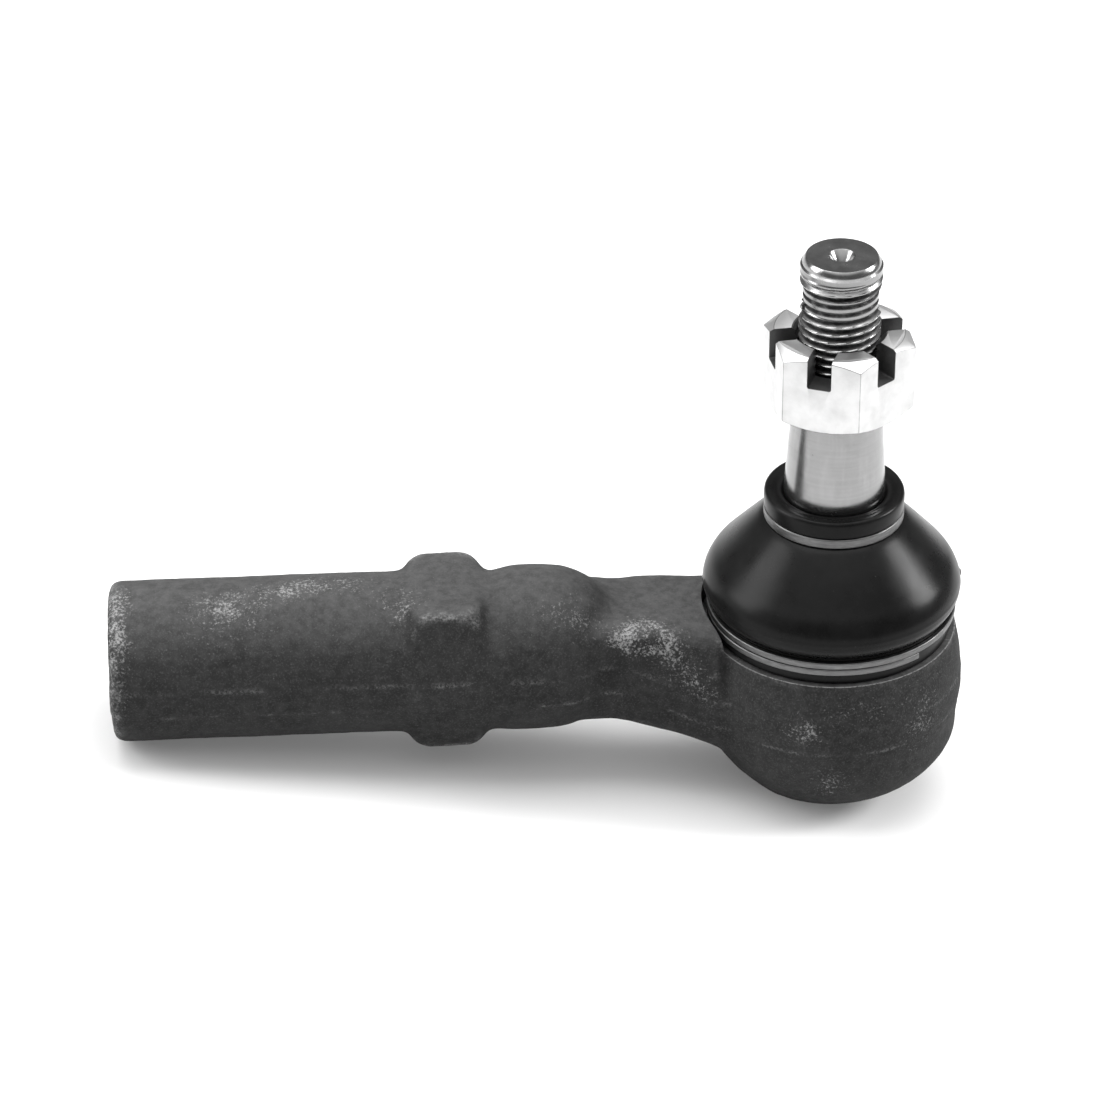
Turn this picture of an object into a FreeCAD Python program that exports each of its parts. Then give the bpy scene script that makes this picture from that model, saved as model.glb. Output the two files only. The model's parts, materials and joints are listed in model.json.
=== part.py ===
"""Tie rod end: forged housing with a female threaded sleeve, ball stud, bearing, boot and slotted nut.

Frame, in millimetres: the origin is on the sleeve's axis where its thread begins, X runs along the
sleeve towards the ball head, and Z is up along the stud. Every sub-part is drawn about the stud's
axis and moved into the frame by its own placement.
"""
import FreeCAD, Part
import math
import os
import Sketcher

SIZES = [
    # housing: sleeve
    ("SleeveReach", 125.5, "stud axis to the sleeve's end face"),
    ("SleeveRadius", 14.0, "outside of the sleeve"),
    ("SleeveEndRound", 1.8, "rounding of the sleeve's end edge"),
    ("ThreadMinorRadius", 8.188, "bore wall of the M18 x 1.5 sleeve thread"),
    ("ThreadDepth", 58.0, "length of the sleeve thread"),
    ("DrillDepth", 66.0, "straight depth of the sleeve's drilled hole"),
    ("DrillRadius", 7.6, "pilot hole beyond the sleeve thread"),
    ("DrillPoint", 4.6, "length of the pilot hole's conical point"),
    ("MouthDepth", 1.5, "depth of the countersink at the sleeve's mouth"),
    # housing: wrench band
    ("BandStart", 74.1, "stud axis to the band's far side"),
    ("BandLength", 13.4, "length of the wrench band"),
    ("BandFlatHalf", 13.9, "half the distance across the wrench flats"),
    ("BandFlatWidth", 10.4, "half the width of a wrench flat"),
    ("BandSideHalf", 15.0, "half the width of the band at the parting plane"),
    ("BandRound", 2.3, "length of the rounding at the band's ends"),
    ("BandEndArc", 2.9, "radius of the rounding at the band's ends"),
    ("BandFoot", 0.4, "height above the sleeve where the band's rounded ends begin"),
    ("BandCornerRound", 1.2, "rounding of the band's four corners"),
    # housing: shoulder and neck
    ("ShoulderRadius", 14.3, "swell of the sleeve's closed end"),
    ("ShoulderCrest", 49.5, "stud axis to the crest of the swell"),
    ("ShoulderEnd", 38.5, "stud axis to the tip of the sleeve's closed end"),
    ("ShoulderTipRadius", 8.0, "radius left at the tip of the closed end"),
    ("ShoulderSwell", 60.0, "arc of the swell along the sleeve"),
    ("ShoulderTipArc", 13.0, "arc of the closed end's tip"),
    ("NeckWaist", 39.0, "stud axis to the neck's waist"),
    ("NeckHalfWidth", 10.4, "half the width of the neck at its waist"),
    ("NeckTop", 8.2, "height of the neck's top above the sleeve axis"),
    ("NeckBottom", 10.4, "depth of the neck's underside at its waist"),
    ("NeckRound", 2.4, "rounding of the neck's long edges at its waist"),
    ("NeckRoot", 20.0, "stud axis to the neck's root in the head"),
    ("NeckRootWidth", 13.9, "half the width of the neck at its root"),
    ("NeckRootTop", 7.5, "height of the neck's top at its root"),
    ("NeckRootBottom", 17.0, "depth of the neck's underside at its root"),
    ("NeckRootRound", 6.2, "rounding of the neck's long edges at its root"),
    ("MiddleWidthShare", 0.16, "share of the neck's widening reached halfway to the root"),
    ("MiddleTopShare", 0.2, "share of the fall of the neck's top reached halfway"),
    ("MiddleBottomShare", 0.4, "share of the drop of the neck's underside reached halfway"),
    ("MiddleRoundShare", 0.3, "share of the change in edge rounding reached halfway"),
    # housing: head
    ("RimRadius", 21.7, "edge of the machined rim under the boot"),
    ("RimHeight", 3.75, "height of the machined rim"),
    ("HeadRadius", 22.45, "drafted side of the head at its foot"),
    ("HeadBulge", 41.0, "radius of the head's bulging side"),
    ("HeadFoot", 14.5, "depth where the head's side turns under"),
    ("HeadTurn", 15.2, "radius of the head's rolled under edge"),
    ("HeadBottom", 26.6, "depth of the head's lowest face"),
    ("LipRadius", 12.2, "opening inside the rolled lip"),
    ("LipFlat", 0.9, "width of the flat on the rolled lip"),
    ("LipEdge", 1.0, "depth of the lip's straight inner edge"),
    ("LipTaper", 0.6, "widening of the lip towards the cover plate"),
    ("BeadSeatRadius", 19.0, "collar that the boot's bead grips"),
    ("BeadSeatTop", 7.0, "top of the boot bead's seat"),
    ("CollarLip", 0.5, "lip that keeps the bead down"),
    ("CollarTop", 8.2, "top of the housing's collar"),
    ("SpotfaceRadius", 22.6, "machined clearance around the boot"),
    # ball, bearing and closure
    ("BallCentre", 6.0, "depth of the ball's centre below the sleeve axis"),
    ("BallRadius", 12.5, "ball of the stud"),
    ("BallFlat", 11.6, "ball centre to the flat under the ball"),
    ("BearingRadius", 15.2, "bore that holds the bearing"),
    ("BearingGap", 0.05, "running clearance around the ball"),
    ("SeatSplit", 0.6, "ball centre to the split between the bearing halves"),
    ("SeatTop", 6.5, "ball centre to the shoulder over the bearing"),
    ("SeatBottom", 13.4, "ball centre to the underside of the lower bearing"),
    ("SeatOpening", 10.9, "opening in the top of the upper bearing"),
    ("ThroatRadius", 12.0, "narrow end of the housing's throat"),
    ("ThroatMouth", 15.3, "wide end of the housing's throat"),
    ("SpringHeight", 1.1, "height of the coned preload washer"),
    ("SpringThickness", 0.7, "thickness of the coned preload washer"),
    ("SpringOuter", 14.4, "outer radius of the preload washer"),
    ("SpringInner", 6.5, "inner radius of the preload washer"),
    ("BearingWell", 5.0, "radius of the well under the ball"),
    ("BearingChamfer", 0.8, "chamfer of the lower bearing's outer edge"),
    ("BearingLand", 0.3, "flat land at the upper bearing's opening"),
    ("HalfSplitGap", 0.2, "half the gap between the bearing halves"),
    ("CoverRadius", 16.4, "radius of the cover plate"),
    ("CoverThickness", 2.0, "thickness of the cover plate"),
    ("CoverDish", 1.0, "depth of the dish pressed into the cover plate"),
    ("DishFloor", 6.5, "radius of the dish's flat floor"),
    ("DishSlope", 2.5, "width of the dish's sloping wall"),
    ("DishStep", 0.6, "growth of the dish from the plate's outer face to its inner one"),
    ("BoreFit", 0.03, "radial clearance of the pieces in the housing's bores"),
    ("FaceFit", 0.02, "gap between stacked faces"),
    ("ShoulderFit", 0.05, "gap over the upper bearing"),
    # stud
    ("StudNeckRadius", 7.2, "stud's neck above the ball"),
    ("StudNeckTop", 10.0, "height where the neck starts to flare"),
    ("StudFlareTop", 20.0, "height where the flare meets the seal land"),
    ("StudLandRadius", 8.75, "land that the boot's collar grips"),
    ("TaperStart", 30.5, "height of the taper's large end"),
    ("TaperEnd", 47.5, "height of the taper's small end"),
    ("TaperRate", 0.0625, "loss of radius for each millimetre, a 1 in 8 taper"),
    ("StudThreadRadius", 6.95, "crest of the M14 x 1.5 thread"),
    ("StudThreadRoot", 6.1, "relieved stretch by the cotter hole"),
    ("ReliefStart", 66.4, "height where the relieved stretch begins"),
    ("ReliefEnd", 70.6, "height where the nose begins"),
    ("StudTop", 75.8, "height of the stud's end"),
    ("StudEndRadius", 6.0, "radius of the stud's end face"),
    ("StudChamfer", 2.2, "length of the chamfer at the stud's end"),
    ("CentreDrillRadius", 2.2, "mouth of the centre drilling"),
    ("CentreDrillDepth", 3.4, "depth of the centre drilling"),
    ("CotterRadius", 1.9, "radius of the cotter hole"),
    ("CotterHeight", 66.3, "height of the cotter hole"),
    ("ThreadLead", 0.2, "step from the taper's small end to the thread"),
    ("ReliefSlope", 0.8, "length of the slopes at the relieved stretch's ends"),
    ("CentreDrillPilot", 0.88, "radius of the centre drilling's pilot"),
    ("CentreDrillCone", 2.1, "depth of the centre drilling's cone"),
    # nut
    ("NutBottom", 47.7, "height of the nut's seat"),
    ("NutHeight", 14.0, "height of the nut"),
    ("NutAcross", 23.0, "width of the nut across its flats"),
    ("NutTurn", -20.8, "turn of the nut about the stud in degrees"),
    ("NutChamferSlope", 0.59, "fall of the nut's corner chamfer for each millimetre outwards"),
    ("NutChamferStart", 11.04, "radius where the nut's corner chamfer starts"),
    ("NutBoreChamfer", 0.8, "chamfer at both ends of the nut's bore"),
    ("NutBore", 7.0, "bore of the nut"),
    ("SlotWidth", 4.0, "width of a cotter slot"),
    ("SlotDepth", 5.5, "depth of a cotter slot"),
    # boot and its rings
    ("BootBeadRadius", 20.9, "outside of the boot's bead"),
    ("BootBeadBore", 19.05, "inside of the boot's bead"),
    ("BootBeadBottom", 3.9, "height of the bead's underside"),
    ("BootBeadTop", 9.35, "height where the bell starts"),
    ("BootBulge", 22.15, "widest radius of the bell"),
    ("BootBulgeHeight", 12.6, "height of the bell's widest place"),
    ("BootWall", 1.9, "wall of the bell"),
    ("BootRoll", 2.4, "radius of the roll below the bell's widest place"),
    ("BootFlank", 60.0, "arc of the bell's long flank"),
    ("BootInnerFlank", 58.0, "arc of the inside of the bell's flank"),
    ("BootWaistRadius", 11.3, "outside of the boot under the upper ring"),
    ("BootWaistBottom", 25.4, "height of the waist's lower edge"),
    ("BootWaistTop", 27.4, "height of the waist's upper edge"),
    ("BootCollarRadius", 12.1, "outside of the boot's collar"),
    ("BootCollarTop", 30.6, "height of the collar's top face"),
    ("BootBore", 8.79, "bore of the collar on the stud"),
    ("BootCollarRound", 1.3, "rounding of the collar's top edge"),
    ("BootSeatPlay", 0.5, "step in the bead's bore that clears the housing's lip"),
    ("SeatPlayDrop", 0.1, "drop from the seat's top to the step in the bead's bore"),
    ("SeatPlayRise", 0.4, "height of the step's slope, above and below the lip"),
    ("BulgeBelow", 1.2, "drop from the bell's widest place to its roll"),
    ("BulgeAbove", 1.6, "rise from the bell's widest place to its flank"),
    ("BulgeStep", 0.3, "loss of radius where the flank starts"),
    ("InnerAbove", 2.0, "rise from the widest place to the flank's inside"),
    ("InnerBelow", 0.6, "drop from the widest place to the roll's inside"),
    ("WaistFlare", 0.9, "widening of the bell just under its waist"),
    ("WaistDrop", 0.6, "height of that widening"),
    ("WaistStep", 0.2, "height of the slope over the upper ring"),
    ("SealDrop", 1.0, "drop from the waist to the collar's inner edge"),
    ("SealFlare", 1.2, "widening of the bell's inside under the collar"),
    ("SealFlareDrop", 2.4, "drop from the waist to the end of that widening"),
    ("UpperRingHeight", 1.85, "height of the upper ring"),
    ("UpperRingRadius", 12.1, "outside of the upper ring"),
    ("LowerRingRadius", 21.75, "outside of the lower ring"),
    ("LowerRingBottom", 6.0, "height of the lower ring's underside"),
    ("LowerRingPitch", 1.3, "rise of the lower ring in one turn"),
    ("LowerRingTurns", 1.5, "turns of the lower ring"),
    ("RingStripHeight", 1.18, "height of the ring's flat strip"),
    ("LowerRingStart", -50, "direction of the lower ring's lower end in degrees"),
    ("RingGap", 0.05, "gap between a ring and the boot"),
    ("Overcut", 2.0, "how far a cutting profile runs past the metal"),
    ("WideOvercut", 6.0, "how far the spotface cut clears the neck's top"),
]

doc = FreeCAD.newDocument("tie_rod_end")
sheet = doc.addObject("Spreadsheet::Sheet", "Dims")
for row, (alias, number, note) in enumerate(SIZES, start=1):
    sheet.set("A%d" % row, note)
    sheet.set("B%d" % row, str(number))
    sheet.setAlias("B%d" % row, alias)
doc.recompute()


class Size:
    """A length with its number and the expression that gives it from the sheet."""

    def __init__(self, number, text):
        self.number = float(number)
        self.text = text

    def __add__(self, other):
        other = size(other)
        return Size(self.number + other.number, "(%s + %s)" % (self.text, other.text))

    def __sub__(self, other):
        other = size(other)
        return Size(self.number - other.number, "(%s - %s)" % (self.text, other.text))

    def __mul__(self, other):
        other = size(other)
        return Size(self.number * other.number, "(%s * %s)" % (self.text, other.text))

    def __truediv__(self, other):
        other = size(other)
        return Size(self.number / other.number, "(%s / %s)" % (self.text, other.text))

    def __neg__(self):
        return Size(-self.number, "(-1 * %s)" % self.text)


def size(value):
    """A Size from a Size, a plain number or the name of a cell."""
    if isinstance(value, Size):
        return value
    if isinstance(value, str):
        return Size(sheet.get(value), "Dims." + value)
    return Size(value, "%.6g" % value)


def root(value):
    """The square root of a Size."""
    return Size(math.sqrt(value.number), "sqrt(%s)" % value.text)


def new_body(label, at_x=True, height=None, turn=None):
    """A body drawn about the stud's axis, whose placement carries it into the frame."""
    body = doc.addObject("PartDesign::Body", label)
    body.Label = label
    if at_x:
        body.setExpression("Placement.Base.x", "Dims.SleeveReach - Dims.MouthDepth")
    if height is not None:
        body.setExpression("Placement.Base.z", size(height).text)
    if turn is not None:
        body.Placement.Rotation = FreeCAD.Rotation(FreeCAD.Vector(0, 0, 1), size(turn).number)
        body.setExpression("Placement.Rotation.Angle", size(turn).text)
    return body


def plane_of(body, role):
    """One of a body's own origin planes."""
    for feature in body.Origin.OriginFeatures:
        if feature.Role == role:
            return feature
    raise ValueError("no plane " + role)


def bind(sketch, kind, where, value):
    """A dimension of a sketch that follows the sheet."""
    index = sketch.addConstraint(Sketcher.Constraint(kind, *where, value.number))
    sketch.setExpression("Constraints[%d]" % index, value.text)


def arc_between(start, end, radius):
    """An arc from start to end, to the right of the chord when the radius is positive."""
    chord = end - start
    half = chord.Length / 2.0
    rise = math.sqrt(max(radius * radius - half * half, 0.0))
    side = FreeCAD.Vector(-chord.y, chord.x, 0).normalize()
    centre = start + chord * 0.5 + side * (rise if radius > 0 else -rise)
    first = math.atan2(start.y - centre.y, start.x - centre.x)
    last = math.atan2(end.y - centre.y, end.x - centre.x)
    circle = Part.Circle(centre, FreeCAD.Vector(0, 0, 1), abs(radius))
    if radius > 0:
        return Part.ArcOfCircle(circle, first, last), 1, 2
    return Part.ArcOfCircle(circle, last, first), 2, 1


def outline(body, role, label, corners):
    """A closed sketch through the corners. A corner is (across, up) or (across, up, radius of the
    arc that leaves it)."""
    sketch = body.newObject("Sketcher::SketchObject", label)
    sketch.AttachmentSupport = [(plane_of(body, role), "")]
    sketch.MapMode = "FlatFace"
    points = []
    for corner in corners:
        points.append(FreeCAD.Vector(size(corner[0]).number, size(corner[1]).number, 0))
    ends = []
    for index, corner in enumerate(corners):
        start = points[index]
        end = points[(index + 1) % len(points)]
        if len(corner) == 3:
            piece, first, last = arc_between(start, end, size(corner[2]).number)
        else:
            piece, first, last = Part.LineSegment(start, end), 1, 2
        number = sketch.addGeometry(piece, False)
        ends.append((number, first, last))
    for index, (number, first, last) in enumerate(ends):
        following, its_first, _ = ends[(index + 1) % len(ends)]
        sketch.addConstraint(
            Sketcher.Constraint("Coincident", number, last, following, its_first)
        )
    for (number, first, _), corner in zip(ends, corners):
        bind(sketch, "DistanceX", (number, first), size(corner[0]))
        bind(sketch, "DistanceY", (number, first), size(corner[1]))
        if len(corner) == 3:
            radius = size(corner[2])
            if radius.number < 0:
                radius = -radius
            bind(sketch, "Radius", (number,), radius)
    return sketch


def revolve(body, sketch, axis="V_Axis"):
    """Turn a sketch all the way round one of its axes and add it."""
    feature = body.newObject("PartDesign::Revolution", sketch.Name + "_turned")
    feature.Profile = sketch
    feature.ReferenceAxis = (sketch, [axis])
    feature.Angle = 360.0
    sketch.Visibility = False
    return feature


def groove(body, sketch, axis="V_Axis"):
    """Turn a sketch all the way round one of its axes and cut it away."""
    feature = body.newObject("PartDesign::Groove", sketch.Name + "_cut")
    feature.Profile = sketch
    feature.ReferenceAxis = (sketch, [axis])
    feature.Angle = 360.0
    sketch.Visibility = False
    return feature


def pad(body, sketch, length, middle=False):
    """Extrude a sketch, to one side or to both."""
    feature = body.newObject("PartDesign::Pad", sketch.Name + "_pad")
    feature.Profile = sketch
    feature.setExpression("Length", size(length).text)
    feature.Midplane = middle
    return feature


def round_edges(body, base, label, radius, wanted):
    """Fillet the edges of the tip that a test picks out."""
    doc.recompute()
    names = []
    for number, edge in enumerate(base.Shape.Edges, start=1):
        if wanted(edge):
            names.append("Edge%d" % number)
    feature = body.newObject("PartDesign::Fillet", label)
    feature.Base = (base, names)
    feature.setExpression("Radius", size(radius).text)
    return feature


def between(start, end, share):
    """A Size part of the way from one to another."""
    return size(start) + (size(end) - size(start)) * size(share)


def turned(body, label, corners):
    """A solid of revolution about the stud's axis."""
    return revolve(body, outline(body, "XZ_Plane", label, corners))


def turned_cut(body, label, corners):
    """A cut of revolution about the stud's axis."""
    return groove(body, outline(body, "XZ_Plane", label, corners))


def through_cut(body, label, sketch):
    """A pocket that goes right through, both ways from its sketch."""
    cut = body.newObject("PartDesign::Pocket", label)
    cut.Profile = sketch
    cut.Type = 1
    cut.Midplane = True
    return cut


def rounded_section(body, label, along, half_width, top, depth, radius):
    """A rectangle with round corners across the sleeve's axis, at a distance along it."""
    wide = size(half_width)
    high = size(top)
    low = -size(depth)
    turn = size(radius)
    sketch = outline(body, "YZ_Plane", label, [
        (wide - turn, high),
        (-wide + turn, high, turn),
        (-wide, high - turn),
        (-wide, low + turn, turn),
        (-wide + turn, low),
        (wide - turn, low, turn),
        (wide, low + turn),
        (wide, high - turn, turn),
    ])
    sketch.setExpression("AttachmentOffset.Base.z", size(along).text)
    return sketch


def add_sleeve(body):
    """The sleeve, swelling towards its closed end."""
    end = -size("SleeveReach")
    edge = size("SleeveEndRound")
    across = size("SleeveRadius")
    tip = -size("ShoulderEnd")
    sleeve = outline(body, "XZ_Plane", "sleeve_profile", [
        (end, 0),
        (tip, 0),
        (tip, "ShoulderTipRadius", "ShoulderTipArc"),
        (-size("ShoulderCrest"), "ShoulderRadius", "ShoulderSwell"),
        (-size("BandStart") + size("BandLength"), across),
        (end + edge, across, edge),
        (end, across - edge),
    ])
    revolve(body, sleeve, "H_Axis")


def add_band(body):
    """The wrench band: two flats, pointed sides and rounded ends."""
    flat = size("BandFlatHalf")
    wide = size("BandFlatWidth")
    side = size("BandSideHalf")
    length = size("BandLength")
    band = outline(body, "YZ_Plane", "band_profile", [
        (wide, flat), (-wide, flat), (-side, 0), (-wide, -flat), (wide, -flat), (side, 0),
    ])
    band.setExpression("AttachmentOffset.Base.z", "-1 * Dims.BandStart")
    prism = pad(body, band, length)
    corner = math.hypot(wide.number, flat.number)
    close = 0.01

    def is_long_corner(edge):
        runs_along = abs(edge.Length - length.number) < close
        return runs_along and all(abs(math.hypot(v.Y, v.Z) - corner) < close for v in edge.Vertexes)

    round_edges(body, prism, "band_corners", "BandCornerRound", is_long_corner)
    over = size("Overcut")
    foot = size("SleeveRadius") + size("BandFoot")
    rise = size("BandRound")
    crest = foot + rise + over
    for label, place, way in (
        ("band_far_end", -size("BandStart"), 1),
        ("band_near_end", -size("BandStart") + length, -1),
    ):
        sharp = outline(body, "XZ_Plane", label, [
            (place - over * way, foot),
            (place, foot, -size("BandEndArc") * way),
            (place + rise * way, foot + rise),
            (place + (rise + over) * way, crest),
            (place - over * way, crest),
        ])
        groove(body, sharp, "H_Axis")


def add_neck(body):
    """The neck, lofted from inside the closed end of the sleeve to its root in the head."""
    waist = -size("NeckWaist")
    root_place = -size("NeckRoot")
    names = ("NeckHalfWidth", "NeckTop", "NeckBottom", "NeckRound")
    root_names = ("NeckRootWidth", "NeckRootTop", "NeckRootBottom", "NeckRootRound")
    shares = ("MiddleWidthShare", "MiddleTopShare", "MiddleBottomShare", "MiddleRoundShare")
    middle = [between(*three) for three in zip(names, root_names, shares)]
    sections = [
        rounded_section(body, "neck_start", -size("ShoulderCrest"), *names),
        rounded_section(body, "neck_waist", waist, *names),
        rounded_section(body, "neck_middle", (waist + root_place) / 2, *middle),
        rounded_section(body, "neck_root", root_place, *root_names),
    ]
    loft = body.newObject("PartDesign::AdditiveLoft", "neck")
    loft.Profile = sections[0]
    loft.Sections = sections[1:]


def add_head(body):
    """The round head with its rolled lip, and the machined collar that the boot sits on."""
    bottom = -size("HeadBottom")
    collar = size("BeadSeatRadius") + size("CollarLip")
    turned(body, "head_profile", [
        (0, bottom),
        (size("LipRadius") + size("LipFlat"), bottom, "HeadTurn"),
        ("HeadRadius", -size("HeadFoot"), "HeadBulge"),
        ("RimRadius", "RimHeight"),
        (collar, "RimHeight"),
        (collar, "CollarTop"),
        (0, "CollarTop"),
    ])
    seat = size("BeadSeatRadius")
    clear = size("CollarTop") + size("WideOvercut")
    turned_cut(body, "spotface_profile", [
        (seat, "RimHeight"),
        ("SpotfaceRadius", "RimHeight"),
        ("SpotfaceRadius", clear),
        (collar, clear),
        (collar, size("BeadSeatTop") + size("CollarLip")),
        (seat, "BeadSeatTop"),
    ])


def cut_cavity(body):
    """The bore for the bearing and cover plate, and the flared throat above it."""
    bottom = -size("HeadBottom")
    centre = -size("BallCentre")
    over = size("Overcut")
    lip = size("LipRadius")
    shoulder = centre + size("SeatTop")
    cover_top = centre - size("SeatBottom") - size("SpringHeight")
    cover_bottom = cover_top - size("CoverThickness")
    clear = size("CollarTop") + size("WideOvercut")
    turned_cut(body, "cavity_profile", [
        (0, bottom - over),
        (lip, bottom - over),
        (lip, bottom + size("LipEdge")),
        (lip + size("LipTaper"), cover_bottom),
        ("CoverRadius", cover_bottom),
        ("CoverRadius", cover_top),
        ("BearingRadius", cover_top),
        ("BearingRadius", shoulder),
        ("ThroatRadius", shoulder),
        ("ThroatMouth", "CollarTop"),
        ("ThroatMouth", clear),
        (0, clear),
    ])


def cut_sleeve_bore(body):
    """The sleeve's countersunk thread, at its minor radius, and the pilot hole beyond it."""
    end = -size("SleeveReach")
    over = size("Overcut")
    bore = size("ThreadMinorRadius")
    mouth = size("MouthDepth")
    thread_end = end + mouth + size("ThreadDepth")
    drill = size("DrillRadius")
    bore_profile = outline(body, "XZ_Plane", "sleeve_bore_profile", [
        (end - over, 0),
        (end - over, bore + mouth),
        (end, bore + mouth),
        (end + mouth, bore),
        (thread_end, bore),
        (thread_end, drill),
        (end + size("DrillDepth"), drill),
        (end + size("DrillDepth") + size("DrillPoint"), 0),
    ])
    groove(body, bore_profile, "H_Axis")


def housing():
    """The forging: head, neck, wrench band and sleeve, then everything that is machined in it."""
    body = new_body("housing")
    add_sleeve(body)
    add_band(body)
    add_neck(body)
    add_head(body)
    cut_cavity(body)
    cut_sleeve_bore(body)
    return body


def ball_stud():
    """The hardened stud: ball, neck, seal land, taper, thread and its cotter hole."""
    body = new_body("ball_stud")
    centre = -size("BallCentre")
    ball = size("BallRadius")
    flat = size("BallFlat")
    neck = size("StudNeckRadius")
    flat_radius = root(ball * ball - flat * flat)
    neck_foot = centre + root(ball * ball - neck * neck)
    small_end = size("StudLandRadius") - size("TaperRate") * (size("TaperEnd") - size("TaperStart"))
    top = size("StudTop")
    slope = size("ReliefSlope")
    turned(body, "stud_profile", [
        (0, centre - flat),
        (flat_radius, centre - flat, ball),
        (neck, neck_foot),
        (neck, "StudNeckTop"),
        ("StudLandRadius", "StudFlareTop"),
        ("StudLandRadius", "TaperStart"),
        (small_end, "TaperEnd"),
        ("StudThreadRadius", size("TaperEnd") + size("ThreadLead")),
        ("StudThreadRadius", "ReliefStart"),
        ("StudThreadRoot", size("ReliefStart") + slope),
        ("StudThreadRoot", size("ReliefEnd") - slope),
        ("StudThreadRadius", "ReliefEnd"),
        ("StudThreadRadius", top - size("StudChamfer")),
        ("StudEndRadius", top),
        (0, top),
    ])
    mouth = size("CentreDrillRadius")
    over = size("Overcut")
    turned_cut(body, "centre_drill_profile", [
        (0, top - size("CentreDrillDepth")),
        ("CentreDrillPilot", top - size("CentreDrillCone")),
        (mouth, top),
        (mouth, top + over),
        (0, top + over),
    ])
    hole = body.newObject("Sketcher::SketchObject", "cotter_hole_sketch")
    hole.AttachmentSupport = [(plane_of(body, "YZ_Plane"), "")]
    hole.MapMode = "FlatFace"
    circle = Part.Circle(
        FreeCAD.Vector(0, size("CotterHeight").number, 0),
        FreeCAD.Vector(0, 0, 1),
        size("CotterRadius").number,
    )
    hole.addGeometry(circle, False)
    bind(hole, "Radius", (0,), size("CotterRadius"))
    bind(hole, "DistanceX", (0, 3), size(0))
    bind(hole, "DistanceY", (0, 3), size("CotterHeight"))
    through_cut(body, "cotter_hole", hole)
    return body


def castle_nut():
    """The slotted hexagon nut: a slot through the middle of every flat."""
    body = new_body("castle_nut", height="NutBottom", turn="NutTurn")
    sides = 6
    corner = size("NutAcross") / math.sqrt(3.0)
    tall = size("NutHeight")
    over = size("Overcut")
    corners = []
    for step in range(sides):
        angle = math.radians(360 / sides * step)
        corners.append((corner * math.cos(angle), corner * math.sin(angle)))
    prism = outline(body, "XY_Plane", "hexagon", corners)
    pad(body, prism, tall)
    start = size("NutChamferStart")
    fall = size("NutChamferSlope") * (corner + over - start)
    for label, level, way in (("lower_chamfer", size(0), 1), ("upper_chamfer", tall, -1)):
        turned_cut(body, label, [
            (start, level),
            (corner + over, level + fall * way),
            (corner + over, level - over * way),
            (start, level - over * way),
        ])
    bore = size("NutBore")
    chamfer = size("NutBoreChamfer")
    turned_cut(body, "nut_bore_profile", [
        (0, -over),
        (bore + chamfer, -over),
        (bore + chamfer, 0),
        (bore, chamfer),
        (bore, tall - chamfer),
        (bore + chamfer, tall),
        (bore + chamfer, tall + over),
        (0, tall + over),
    ])
    half = size("SlotWidth") / 2
    floor = tall - size("SlotDepth")
    slot = outline(body, "XZ_Plane", "slot_profile", [
        (-half, floor), (half, floor), (half, tall + over), (-half, tall + over),
    ])
    around = body.newObject("PartDesign::PolarPattern", "slots")
    around.Originals = [through_cut(body, "slot", slot)]
    around.Axis = (prism, ["N_Axis"])
    around.Angle = 360.0
    around.Occurrences = sides
    body.Tip = around
    return body


def dust_boot():
    """The rubber bell between the housing's collar and the stud, with its grooves for the rings."""
    body = new_body("dust_boot")
    bead_top = size("BootBeadTop")
    bulge = size("BootBulge")
    inside = bulge - size("BootWall")
    high = size("BootBulgeHeight")
    waist = size("BootWaistRadius")
    low = size("BootWaistBottom")
    collar = size("BootCollarRadius")
    collar_round = size("BootCollarRound")
    bore = size("BootBore")
    bead_bore = size("BootBeadBore")
    step = bead_bore + size("BootSeatPlay")
    turned(body, "boot_profile", [
        (bead_bore, "BootBeadBottom"),
        ("BootBeadRadius", "BootBeadBottom"),
        ("BootBeadRadius", bead_top),
        (bulge, high - size("BulgeBelow"), "BootRoll"),
        (bulge - size("BulgeStep"), high + size("BulgeAbove"), "BootFlank"),
        (collar + size("WaistFlare"), low - size("WaistDrop")),
        (waist, low),
        (waist, "BootWaistTop"),
        (collar, size("BootWaistTop") + size("WaistStep")),
        (collar, size("BootCollarTop") - collar_round, collar_round),
        (collar - collar_round, "BootCollarTop"),
        (bore, "BootCollarTop"),
        (bore, low - size("SealDrop")),
        (bore + size("SealFlare"), low - size("SealFlareDrop")),
        (inside - size("BulgeStep"), high + size("InnerAbove"), -size("BootInnerFlank")),
        (inside, high - size("InnerBelow")),
        (step, bead_top - size("SeatPlayRise")),
        (step, size("BeadSeatTop") + size("SeatPlayRise")),
        (bead_bore, size("BeadSeatTop") - size("SeatPlayDrop")),
    ])
    return body


def boot_ring_upper():
    """The flat ring that clamps the boot's waist to the stud."""
    body = new_body("boot_ring_upper")
    inner = size("BootWaistRadius") + size("RingGap")
    low = size("BootWaistBottom") + size("RingGap")
    high = low + size("UpperRingHeight")
    turned(body, "upper_ring_profile", [
        (inner, low), ("UpperRingRadius", low), ("UpperRingRadius", high), (inner, high),
    ])
    return body


def boot_ring_lower():
    """The spiral of flat spring wire that clamps the boot's bead."""
    body = new_body("boot_ring_lower", turn="LowerRingStart")
    inner = size("BootBeadRadius") + size("RingGap")
    low = size("LowerRingBottom")
    high = low + size("RingStripHeight")
    profile = outline(body, "XZ_Plane", "lower_ring_profile", [
        (inner, low), ("LowerRingRadius", low), ("LowerRingRadius", high), (inner, high),
    ])
    coil = body.newObject("PartDesign::AdditiveHelix", "coil")
    coil.Profile = profile
    coil.ReferenceAxis = (profile, ["V_Axis"])
    coil.Mode = 1
    coil.setExpression("Pitch", "Dims.LowerRingPitch")
    coil.setExpression("Turns", "Dims.LowerRingTurns")
    coil.LeftHanded = True
    return body


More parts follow.
